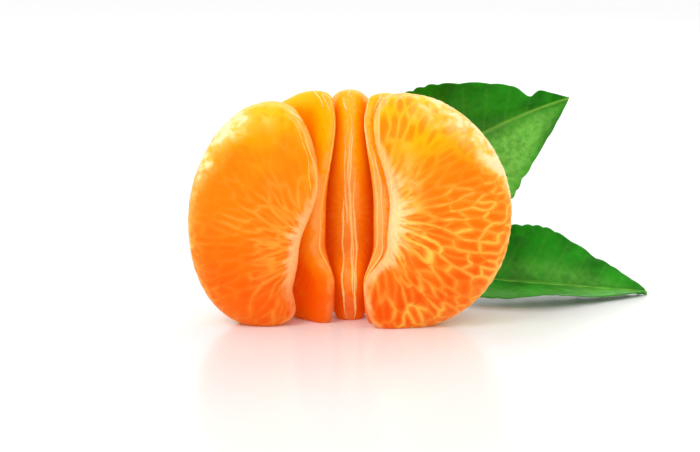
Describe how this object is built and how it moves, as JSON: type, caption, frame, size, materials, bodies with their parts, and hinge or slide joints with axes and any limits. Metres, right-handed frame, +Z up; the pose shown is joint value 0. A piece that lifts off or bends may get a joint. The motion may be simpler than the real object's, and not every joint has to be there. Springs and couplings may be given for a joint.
{
  "type": "opened peeled mandarin with leaves",
  "caption": "Peeled mandarin, opened to show the juicy side faces and the hollow core of its joined segments, with glossy pointed leaves on a short twig behind.",
  "frame": {"origin": "centre of the footprint of the whole, at the surface it stands on", "axes": "+Z up along the core of the fruit, +X to the right of the open side, where the leaves point, -Y out of the open side"},
  "size_m": [0.0978, 0.044, 0.0475],
  "materials": {
    "segment_flesh": "thin moist membrane over orange juice sacs, with pale veins",
    "leaf": "smooth waxy green, paler underneath",
    "twig_bark": "young green bark, slightly rough"
  },
  "bodies": {
    "root": {"segment_left_end": "segment_flesh", "segment_left_inner": "segment_flesh", "segment_middle": "segment_flesh", "segment_right_inner": "segment_flesh", "segment_right_end": "segment_flesh", "leaf_upper": "leaf", "leaf_lower": "leaf", "twig": "twig_bark"}
  },
  "joints": []
}
